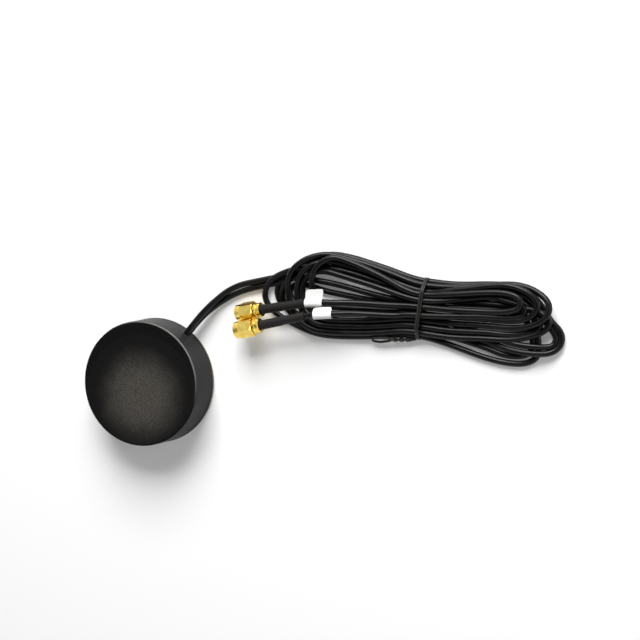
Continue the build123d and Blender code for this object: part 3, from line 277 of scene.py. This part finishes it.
# Labels: each one a loose paper loop round its cable, with both ends stuck together as a flag. Per label: its name,
# the solid it replaces, its plug, how far it lies behind the sleeve, how far the flag reaches, how far its tip lies
# towards the hank, and how far towards the camera
LABELS = (("paper_label_1", "cable_label_1", 0, 4.9, 4.4, 0.8, 0.5),
          ("paper_label_2", "cable_label_2", 1, 8.5, 1.6, 0.2, -0.9))
LABEL_WIDTH = 8.5
LABEL_PAPER = 0.15
LABEL_RADIUS = 1.8
LABEL_DROP = 0.35
LABEL_PINCH = 0.35
LABEL_CORNER = 1.1
LABEL_PLIES_APART = 1.3 * LABEL_PAPER
LABEL_START = math.radians(72.0)
LABEL_LOOP = math.radians(-326.0)
LABEL_STEPS = 24


def mean_of(vertices):
    return sum((vertex.co for vertex in vertices), Vector()) / len(vertices)


def vertices_in(geometry):
    return [item for item in geometry if isinstance(item, bmesh.types.BMVert)]


def edges_in(geometry):
    return [item for item in geometry if isinstance(item, bmesh.types.BMEdge)]


def draw_out(shape, edges, shift):
    """Extrude the edges by a shift in metres; gives the new edges and their vertices."""
    drawn = bmesh.ops.extrude_edge_only(shape, edges=edges)["geom"]
    moved = vertices_in(drawn)
    bmesh.ops.translate(shape, verts=moved, vec=shift)
    return [edge for edge in edges_in(drawn) if all(vertex in moved for vertex in edge.verts)], moved


def round_corners(shape, corners, radius, segments):
    bmesh.ops.bevel(shape, geom=corners, offset=radius * MM, segments=segments, profile=0.5, affect="VERTICES",
                    material=-1)


def face_outwards(shape):
    bmesh.ops.recalc_face_normals(shape, faces=shape.faces[:])


def thicken(shape, thickness):
    face_outwards(shape)
    bmesh.ops.solidify(shape, geom=shape.faces[:], thickness=thickness * MM)


def keep_piece(shape, name, node):
    """The finished mesh as a piece that rides with the puck in place of its CAD solid."""
    face_outwards(shape)
    mesh = bpy.data.meshes.new(name)
    shape.to_mesh(mesh)
    shape.free()
    piece = bpy.data.objects.new(name, mesh)
    SCENE.collection.objects.link(piece)
    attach(piece, "antenna")
    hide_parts(node)
    return piece


def paper_label(name, node, plug, distance, flag, lean, forward):
    """A strip of paper spun round the cable, and both its ends drawn out into a flag."""
    spot, along = spot_on(LINES[plug], SLEEVE_END - CABLE_END + distance)
    towards = (CAMERA_BACK - along * CAMERA_BACK.dot(along)).normalized()
    upward = towards.cross(along)
    middle = spot / MM - upward * LABEL_DROP
    start = middle + (upward * math.sin(LABEL_START) + towards * math.cos(LABEL_START)) * LABEL_RADIUS
    strip = bmesh.new()
    ends = [strip.verts.new((start + along * side * LABEL_WIDTH / 2) * MM) for side in (-1, 1)]
    first = strip.edges.new(ends)
    spun = bmesh.ops.spin(strip, geom=ends + [first], cent=middle * MM, axis=along, angle=LABEL_LOOP,
                          steps=LABEL_STEPS, use_duplicate=False)
    pinch = start + (upward - towards) * LABEL_PINCH
    tip = start + upward * flag + towards * forward + along * lean
    for ply, edges in enumerate(([first], edges_in(spun["geom_last"]))):
        for place in (pinch, tip):
            to = (place - towards * ply * LABEL_PLIES_APART) * MM
            edges, corners = draw_out(strip, edges, to - mean_of(edges[0].verts))
        round_corners(strip, corners, LABEL_CORNER, 4)
    thicken(strip, LABEL_PAPER)
    return keep_piece(strip, name, node)


labels = [paper_label(*label) for label in LABELS]


# Tie: a flat band round the hank, and its two ends twisted together beside it. Points are in the hank's frame
TIE_BAND = ((-13.05, 0.92), (13.4, 0.92), (13.4, 4.0), (8.6, 8.3), (-8.6, 8.3), (-13.05, 3.8))
TIE_WIDTH = 1.8
TIE_THICKNESS = 0.9
TIE_CORNER = 1.3
TIE_EDGE = 0.2
TIE_SHARP = 1.2
TWIST_FROM = (-3.8, -14.7, 2.9)
TWIST_TO = (-9.4, -15.7, 3.4)
TWIST_STEPS = 20
STRAND = 0.54
STRAND_APART = 1.05 * STRAND
STRAND_SIDES = 12
STRAND_STARTS = ((-0.2, -13.6, 1.6), (0.0, -13.8, 2.6))
STRAND_ENDS = (((-12.6, -17.0, 3.3), (-16.4, -18.1, 3.1), (-19.2, -18.3, 2.9), (-20.6, -17.9, 2.9)),
               ((-12.8, -15.7, 4.4), (-16.4, -16.1, 4.7), (-19.0, -16.7, 4.4), (-20.3, -17.3, 3.9)))


def hank_place(point):
    return Vector(on_hank(*point)) * MM


def add_band(shape):
    """The band's outline, drawn along the hank and thickened outwards."""
    ring = [shape.verts.new(hank_place((TIE_AT - TIE_WIDTH / 2, *corner))) for corner in TIE_BAND]
    for first, second in zip(ring, ring[1:] + ring[:1]):
        shape.edges.new((first, second))
    round_corners(shape, ring, TIE_CORNER, 6)
    draw_out(shape, shape.edges[:], HANK_ALONG * TIE_WIDTH * MM)
    thicken(shape, -TIE_THICKNESS)
    sharp = [edge for edge in shape.edges if edge.calc_face_angle(0.0) > TIE_SHARP]
    bmesh.ops.bevel(shape, geom=sharp, offset=TIE_EDGE * MM, segments=2, profile=0.5, affect="EDGES", material=-1)


def add_strand(shape, side, start, ends):
    """One end of the tie: a ring spun along a screw line, then drawn back to the band and out to its tip."""
    base, top = hank_place(TWIST_FROM), hank_place(TWIST_TO)
    axis = (top - base).normalized()
    level = axis.cross(Vector((0.0, 0.0, 1.0))).normalized()
    turn = Matrix((level, axis.cross(level), axis)).transposed().to_4x4()
    place = Matrix.Translation(base + level * side * STRAND_APART * MM) @ turn
    ring = bmesh.ops.create_circle(shape, segments=STRAND_SIDES, radius=STRAND * MM, matrix=place)["verts"]
    first = list(dict.fromkeys(edge for vertex in ring for edge in vertex.link_edges))
    spun = bmesh.ops.spin(shape, geom=ring + first, cent=base, axis=axis, dvec=(top - base) / TWIST_STEPS,
                          angle=math.tau, steps=TWIST_STEPS, use_duplicate=False)
    for edges, stops in ((first, (start,)), (edges_in(spun["geom_last"]), ends)):
        for stop in stops:
            middle = mean_of(dict.fromkeys(vertex for edge in edges for vertex in edge.verts))
            edges = draw_out(shape, edges, hank_place(stop) - middle)[0]
        bmesh.ops.holes_fill(shape, edges=edges, sides=0)


def twist_tie():
    shape = bmesh.new()
    add_band(shape)
    for side, start, ends in zip((1, -1), STRAND_STARTS, STRAND_ENDS):
        add_strand(shape, side, start, ends)
    piece = keep_piece(shape, "twist_tie", "cable_tie")
    piece.data.shade_smooth()
    return piece


tie = twist_tie()


# Finishes: node graphs in object coordinates, which are the part's own coordinates in metres

def add(tree, kind, inputs=None, **settings):
    """A node with its settings; an input given as a socket is linked to it."""
    made = tree.nodes.new(kind)
    for setting, value in settings.items():
        setattr(made, setting, value)
    for key, value in (inputs or {}).items():
        if isinstance(value, bpy.types.NodeSocket):
            tree.links.new(value, made.inputs[key])
        else:
            made.inputs[key].default_value = value
    return made


def start_finish(name, colour, roughness, gloss=0.5, metallic=0.0):
    """A new material with its plain values on the shader's own sockets."""
    material = bpy.data.materials.new(name)
    material.use_nodes = True
    tree = material.node_tree
    shader = tree.nodes["Principled BSDF"]
    shader.inputs["Base Color"].default_value = (*colour, 1.0)
    shader.inputs["Roughness"].default_value = roughness
    shader.inputs["Specular IOR Level"].default_value = gloss
    shader.inputs["Metallic"].default_value = metallic
    return material, tree, shader


def part_place(tree):
    return add(tree, "ShaderNodeTexCoord").outputs["Object"]


def noise(tree, place, grain, detail=2.0, spread=0.5):
    """Noise whose features are about the given number of millimetres across."""
    inputs = {"Vector": place, "Scale": 1.0 / (grain * MM), "Detail": detail, "Roughness": spread}
    return add(tree, "ShaderNodeTexNoise", inputs).outputs["Fac"]


def remap(tree, value, low, high, to_low=0.0, to_high=1.0, curve="LINEAR"):
    inputs = {"Value": value, "From Min": low, "From Max": high, "To Min": to_low, "To Max": to_high}
    return add(tree, "ShaderNodeMapRange", inputs, interpolation_type=curve).outputs["Result"]


def mix_colour(tree, share, first, second):
    """Between two colours, each one a socket or three numbers."""
    first, second = ((*side, 1.0) if isinstance(side, tuple) else side for side in (first, second))
    return add(tree, "ShaderNodeMix", {0: share, 6: first, 7: second}, data_type="RGBA").outputs[2]


def mix_value(tree, share, first, second):
    return add(tree, "ShaderNodeMix", {0: share, 2: first, 3: second}, data_type="FLOAT").outputs[0]


def arithmetic(tree, operation, first, second=0.0):
    return add(tree, "ShaderNodeMath", {0: first, 1: second}, operation=operation).outputs[0]


def times(tree, first, second):
    return arithmetic(tree, "MULTIPLY", first, second)


def plus(tree, first, second):
    return arithmetic(tree, "ADD", first, second)


def stretch(tree, vector, scale):
    return add(tree, "ShaderNodeVectorMath", {0: vector, 1: scale}, operation="MULTIPLY").outputs["Vector"]


def reach_along(tree, vector, direction):
    return add(tree, "ShaderNodeVectorMath", {0: vector, 1: direction}, operation="DOT_PRODUCT").outputs["Value"]


def reach_out(tree, vector):
    """How far a place lies from the vertical axis through the origin."""
    level = stretch(tree, vector, (1.0, 1.0, 0.0))
    return add(tree, "ShaderNodeVectorMath", {0: level}, operation="LENGTH").outputs["Value"]


def link(tree, value, shader, socket):
    tree.links.new(value, shader.inputs[socket])


def raise_grain(tree, shader, height, depth, strength=0.5):
    """The surface stands up and down by the height, over a depth in millimetres."""
    bump = add(tree, "ShaderNodeBump", {"Height": height, "Strength": strength, "Distance": depth * MM})
    link(tree, bump.outputs["Normal"], shader, "Normal")


# A plain finish: its second noise is so much coarser, and its roughness sways by so much
COARSER = 14
SWAY = 0.12


def grained(name, colour, other, roughness, grain, depth, metallic=0.0):
    """A plain finish: one grain sways its colour and roughness and roughens its surface."""
    material, tree, shader = start_finish(name, colour, roughness, metallic=metallic)
    place = part_place(tree)
    fine = noise(tree, place, grain, 3.0)
    broad = noise(tree, place, grain * COARSER)
    both = plus(tree, times(tree, fine, 0.6), times(tree, broad, 0.4))
    link(tree, mix_colour(tree, remap(tree, both, 0.35, 0.65), colour, other), shader, "Base Color")
    rough = remap(tree, broad, 0.3, 0.7, roughness * (1 - SWAY), min(1.0, roughness * (1 + SWAY)))
    link(tree, rough, shader, "Roughness")
    raise_grain(tree, shader, fine, depth)
    return material


# The cover, in metres: its top, how far under it the top's finish and the painted rim highlight begin and are
# whole, where the painted sheen patch lies and how wide it is at its edge and where it is palest, and which arc of
# the rim carries the painted highlight
COVER_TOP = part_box("cover")[1].z
TOP_BEGINS, TOP_WHOLE = COVER_TOP - 0.0011, COVER_TOP - 0.0003
RIM_BEGINS, RIM_WHOLE = COVER_TOP - 0.0009, COVER_TOP - 0.0006
SHEEN_SHIFT = (-0.004, 0.0038, 0.0)
SHEEN_EDGE, SHEEN_PALEST = 0.0255, 0.0075
SHEEN_UNEVEN = 0.001
WALL_ROUGHNESS_FROM, WALL_ROUGHNESS_AT = 0.0284, 0.0288
RIM_OUT, RIM_OUTMOST = 0.0288, 0.0292
RIM_SIDE = (0.09, 1.0, 0.0)
RIM_ARC_BEGINS, RIM_ARC_WHOLE = 0.013, 0.026
RIM_HIGHLIGHT_COLOUR = (0.15, 0.145, 0.136)


def cover_finish():
    """Charcoal moulded plastic: spark-eroded top with a paler patch near its middle painted on as a sheen, a
    highlight painted along one arc of its rim, and a smoother wall.
    """
    material, tree, shader = start_finish("cover_plastic", (0.012, 0.012, 0.013), 0.5, 0.06)
    place = part_place(tree)
    height = add(tree, "ShaderNodeSeparateXYZ", {0: place}).outputs["Z"]
    shifted = add(tree, "ShaderNodeMapping", {"Vector": place, "Location": SHEEN_SHIFT}).outputs["Vector"]
    from_patch = reach_out(tree, shifted)
    cloud = noise(tree, place, 9.0, 3.0)
    grain = noise(tree, place, 0.36)
    speck = noise(tree, place, 0.55, 3.0, 0.6)
    top = remap(tree, height, TOP_BEGINS, TOP_WHOLE)

    # Painted sheen: the top is painted paler in a soft patch off its middle, with an uneven edge
    uneven = remap(tree, cloud, 0.3, 0.7, -SHEEN_UNEVEN, SHEEN_UNEVEN)
    painted_sheen = remap(tree, plus(tree, from_patch, uneven), SHEEN_EDGE, SHEEN_PALEST, curve="SMOOTHSTEP")
    pale = mix_colour(tree, remap(tree, speck, 0.3, 0.7), (0.026, 0.024, 0.0218), (0.078, 0.072, 0.063))
    dark = mix_colour(tree, remap(tree, speck, 0.4, 0.7), (0.0035, 0.0035, 0.0037), (0.0075, 0.0072, 0.007))
    side = mix_colour(tree, remap(tree, cloud, 0.35, 0.65), (0.014, 0.014, 0.0144), (0.02, 0.0197, 0.02))
    top_colour = mix_colour(tree, times(tree, painted_sheen, top), dark, pale)

    # Painted highlight: a thin light line painted on one arc of the top's outer rim
    outmost = remap(tree, reach_out(tree, place), RIM_OUT, RIM_OUTMOST)
    upmost = remap(tree, height, RIM_BEGINS, RIM_WHOLE)
    arc = remap(tree, reach_along(tree, place, RIM_SIDE), RIM_ARC_BEGINS, RIM_ARC_WHOLE)
    top_colour = mix_colour(tree, times(tree, times(tree, outmost, upmost), arc), top_colour, RIM_HIGHLIGHT_COLOUR)
    link(tree, mix_colour(tree, top, side, top_colour), shader, "Base Color")

    wall = remap(tree, cloud, 0.3, 0.7, 0.34, 0.42)
    rough = mix_value(tree, top, wall, remap(tree, speck, 0.3, 0.7, 0.66, 0.8))
    smooth_rim = remap(tree, from_patch, WALL_ROUGHNESS_FROM, WALL_ROUGHNESS_AT)
    link(tree, mix_value(tree, smooth_rim, rough, wall), shader, "Roughness")
    raise_grain(tree, shader, mix_value(tree, top, times(tree, grain, 0.12), grain), 0.09, 0.7)
    return material


def base_finish():
    """Smooth black plastic with shreds of tan paper left on its edge."""
    material, tree, shader = start_finish("base_plastic", (0.014, 0.014, 0.014), 0.42, 0.3)
    place = part_place(tree)
    axes = add(tree, "ShaderNodeSeparateXYZ", {0: place})
    flattened = add(tree, "ShaderNodeMapping", {"Vector": place, "Scale": (1.0, 1.0, 2.6)}).outputs["Vector"]
    shred = noise(tree, flattened, 1.5, 3.0, 0.62)
    side = remap(tree, plus(tree, axes.outputs["X"], times(tree, axes.outputs["Y"], 0.5)), 0.024, 0.031)
    low = remap(tree, axes.outputs["Z"], 0.0023, 0.0013)
    torn = times(tree, remap(tree, shred, 0.57, 0.6), times(tree, side, low))
    tone = mix_colour(tree, remap(tree, noise(tree, place, 4.0), 0.35, 0.65), (0.011, 0.011, 0.0115),
                      (0.019, 0.0185, 0.018))
    link(tree, mix_colour(tree, torn, tone, (0.42, 0.33, 0.19)), shader, "Base Color")
    link(tree, remap(tree, torn, 0.0, 1.0, 0.42, 0.85), shader, "Roughness")
    raise_grain(tree, shader, noise(tree, place, 0.35), 0.02)
    return material


def jacket_finish():
    """Black flexible jacket, half gloss, with faint worn and dusty patches."""
    material, tree, shader = start_finish("cable_jacket", (0.005, 0.005, 0.0052), 0.28, 0.2)
    dust = noise(tree, part_place(tree), 6.0, 1.0)
    link(tree, mix_colour(tree, remap(tree, dust, 0.35, 0.7), (0.0016, 0.0016, 0.0017), (0.0048, 0.0045, 0.0042)),
         shader, "Base Color")
    link(tree, remap(tree, dust, 0.3, 0.7, 0.3, 0.38), shader, "Roughness")
    return material


def gold_finish(number):
    """Gold plate on turned brass: fine rings round the plug's axis, tarnish in patches and small handling marks."""
    material, tree, shader = start_finish(f"gold_plate_{number}", (0.92, 0.68, 0.22), 0.2, metallic=1.0)
    place = part_place(tree)
    along = reach_along(tree, place, tuple(plug_direction(number - 1)))
    rings = add(tree, "ShaderNodeTexNoise", {"W": along, "Scale": 1.0 / (0.16 * MM), "Detail": 1.0},
                noise_dimensions="1D").outputs["Fac"]
    tarnish = noise(tree, place, 2.6, 3.0, 0.6)
    marks = noise(tree, place, 0.5)
    link(tree, mix_colour(tree, remap(tree, tarnish, 0.36, 0.66), (0.98, 0.76, 0.21), (0.86, 0.58, 0.11)),
         shader, "Base Color")
    link(tree, remap(tree, marks, 0.35, 0.7, 0.1, 0.2), shader, "Roughness")
    raise_grain(tree, shader, plus(tree, rings, times(tree, marks, 0.4)), 0.004, 0.4)
    return material


# The tie's two ribs, in millimetres: how far apart they lie, and how far the groove is off the band's middle
RIB_APART = 1.2
RIB_OFFSET = 0.25


def tie_finish():
    """Black twist tie: two plastic ribs run along the band, their crests painted lighter as a highlight and the
    groove between them painted darker as shade.
    """
    material, tree, shader = start_finish("tie_plastic", (0.012, 0.011, 0.010), 0.4, 0.18)
    place = part_place(tree)
    groove = (Vector((*HANK_AT, 0.0)).dot(HANK_ALONG) + TIE_AT + RIB_OFFSET) * MM
    from_groove = arithmetic(tree, "SUBTRACT", reach_along(tree, place, tuple(HANK_ALONG)), groove)
    wave = arithmetic(tree, "COSINE", times(tree, from_groove, math.tau / (RIB_APART * MM)))
    rib = remap(tree, wave, 1.0, -1.0)
    scuff = noise(tree, place, 0.6, 3.0)
    # Painted highlight and shade: the colour is lighter on the ribs' crests and darker in the groove, by an amount
    # that varies with a noise
    share = times(tree, rib, remap(tree, scuff, 0.3, 0.7, 0.55, 1.0))
    link(tree, mix_colour(tree, share, (0.0035, 0.0032, 0.003), (0.036, 0.032, 0.029)), shader, "Base Color")
    link(tree, remap(tree, scuff, 0.3, 0.7, 0.34, 0.48), shader, "Roughness")
    raise_grain(tree, shader, rib, 0.16, 0.8)
    return material


def paper_finish():
    """Bare white label paper with a faint fibre and slightly handled patches."""
    material, tree, shader = start_finish("label_paper", (0.86, 0.86, 0.84), 0.72)
    place = part_place(tree)
    fibre = noise(tree, place, 0.35, 5.0, 0.7)
    handled = remap(tree, noise(tree, place, 3.4), 0.4, 0.75)
    link(tree, mix_colour(tree, handled, (0.84, 0.84, 0.83), (0.78, 0.775, 0.76)), shader, "Base Color")
    link(tree, remap(tree, fibre, 0.3, 0.7, 0.62, 0.82), shader, "Roughness")
    raise_grain(tree, shader, fibre, 0.02)
    return material


def sleeve_finish():
    """Matt shrunk tubing: fine pebbled skin with soft wrinkles drawn by the heat."""
    material, tree, shader = start_finish("sleeve", (0.014, 0.013, 0.0125), 0.62, 0.18)
    place = part_place(tree)
    pebble = noise(tree, place, 0.3, 3.0, 0.6)
    wrinkle = noise(tree, place, 2.8, 3.0)
    link(tree, mix_colour(tree, remap(tree, pebble, 0.4, 0.68), (0.006, 0.0055, 0.0053), (0.019, 0.017, 0.016)),
         shader, "Base Color")
    link(tree, remap(tree, wrinkle, 0.35, 0.65, 0.5, 0.68), shader, "Roughness")
    raise_grain(tree, shader, plus(tree, pebble, times(tree, wrinkle, 1.6)), 0.07, 0.6)
    return material


FINISHES = {
    "cover_plastic": cover_finish(),
    "base_plastic": base_finish(),
    "liner": grained("liner_paper", (0.60, 0.49, 0.31), (0.47, 0.36, 0.21), 0.75, 0.4, 0.02),
    "foam_tape": grained("foam_tape", (0.03, 0.03, 0.031), (0.055, 0.054, 0.052), 0.9, 0.35, 0.12),
    "seal_rubber": grained("seal_rubber", (0.012, 0.012, 0.012), (0.022, 0.021, 0.021), 0.6, 0.4, 0.03),
    "screw_steel": grained("screw_steel", (0.6, 0.6, 0.58), (0.5, 0.5, 0.5), 0.34, 0.3, 0.01, metallic=1.0),
    "board": grained("board", (0.02, 0.16, 0.06), (0.03, 0.2, 0.08), 0.4, 0.6, 0.02),
    "tinned_metal": grained("tinned_metal", (0.72, 0.72, 0.7), (0.6, 0.6, 0.59), 0.3, 0.5, 0.01, metallic=1.0),
    "patch_ceramic": grained("patch_ceramic", (0.66, 0.6, 0.48), (0.58, 0.52, 0.41), 0.55, 0.4, 0.02),
    "cable_jacket": jacket_finish(),
    "tie_plastic": tie_finish(),
    "label_paper": paper_finish(),
    "gasket_rubber": grained("gasket_rubber", (0.5, 0.1, 0.07), (0.42, 0.08, 0.055), 0.6, 0.4, 0.02),
    "insulator_white": grained("insulator", (0.84, 0.84, 0.81), (0.78, 0.78, 0.75), 0.42, 0.6, 0.01),
    "sleeve": sleeve_finish(),
}
GOLD = {1: gold_finish(1), 2: gold_finish(2)}

for part in frame["record"]["subparts"]:
    name, slot = part["node"], part["material_slot"]
    finish = GOLD[int(name[-1])] if slot == "gold_plate" else FINISHES[slot]
    NODES[name].data.materials.clear()
    NODES[name].data.materials.append(finish)
for drawn, slot in ((cable_outer, "cable_jacket"), (cable_inner, "cable_jacket"), (labels[0], "label_paper"),
                    (labels[1], "label_paper"), (tie, "tie_plastic")):
    drawn.data.materials.append(FINISHES[slot])


# Floor and light: a white floor lit from the far side, with weak lamps from the near side and from the right.
# Per lamp: its name, place, width and power. Mirrors see a dark room overhead and a bright one lower down.
FLOOR_HALF_WIDTH = 3.0
FLOOR_WHITE = (0.8, 0.8, 0.8)
FLOOR_GLOW = 0.14
WORLD_STRENGTH = 0.15
ROOM_OVERHEAD, ROOM_LOWER = 0.88, 0.6
ROOM_DARK, ROOM_BRIGHT = 0.06, 0.9
LAMP_AIM = Vector((0.04, 0.06, 0.0))
LAMPS = (("key", (-0.5, 0.84, 0.72), 0.75, 25.0), ("fill", (0.8, -0.55, 0.75), 1.1, 2.5),
         ("rim", (0.75, 0.85, 0.42), 0.5, 2.0))
WHITE = (1.0, 1.0, 1.0, 1.0)


def floor_finish():
    """White paper: it keeps its shadows, and the camera and reflections see it a little brighter."""
    material, tree, shader = start_finish("floor", FLOOR_WHITE, 0.9, 0.0)
    rays = add(tree, "ShaderNodeLightPath").outputs
    seen = arithmetic(tree, "MAXIMUM", rays["Is Camera Ray"], rays["Is Glossy Ray"])
    seen = arithmetic(tree, "MAXIMUM", seen, rays["Is Transmission Ray"])
    glow = add(tree, "ShaderNodeEmission", {"Color": WHITE, "Strength": times(tree, seen, FLOOR_GLOW)})
    both = add(tree, "ShaderNodeAddShader", {0: shader.outputs["BSDF"], 1: glow.outputs["Emission"]})
    link(tree, both.outputs["Shader"], tree.nodes["Material Output"], "Surface")
    return material


def place_floor():
    shape = bmesh.new()
    bmesh.ops.create_grid(shape, x_segments=1, y_segments=1, size=FLOOR_HALF_WIDTH)
    mesh = bpy.data.meshes.new("floor")
    shape.to_mesh(mesh)
    shape.free()
    floor = bpy.data.objects.new("floor", mesh)
    SCENE.collection.objects.link(floor)
    floor.data.materials.append(floor_finish())


def place_world():
    world = bpy.data.worlds.new("world")
    world.use_nodes = True
    tree = world.node_tree
    rays = add(tree, "ShaderNodeLightPath").outputs
    direction = add(tree, "ShaderNodeTexCoord").outputs["Generated"]
    height = add(tree, "ShaderNodeSeparateXYZ", {0: direction}).outputs["Z"]
    room = remap(tree, height, ROOM_OVERHEAD, ROOM_LOWER, ROOM_DARK, ROOM_BRIGHT)
    strength = mix_value(tree, rays["Is Glossy Ray"], WORLD_STRENGTH, room)
    background = tree.nodes["Background"]
    background.inputs["Color"].default_value = WHITE
    link(tree, arithmetic(tree, "MAXIMUM", rays["Is Camera Ray"], strength), background, "Strength")
    SCENE.world = world


def place_lamps():
    for name, place, width, power in LAMPS:
        data = bpy.data.lights.new(name, "AREA")
        data.size = width
        data.energy = power
        lamp = bpy.data.objects.new(name, data)
        SCENE.collection.objects.link(lamp)
        lamp.location = place
        lamp.rotation_euler = (LAMP_AIM - Vector(place)).to_track_quat("-Z", "Y").to_euler()


place_floor()
place_world()
place_lamps()
SCENE.view_settings.view_transform = "Standard"
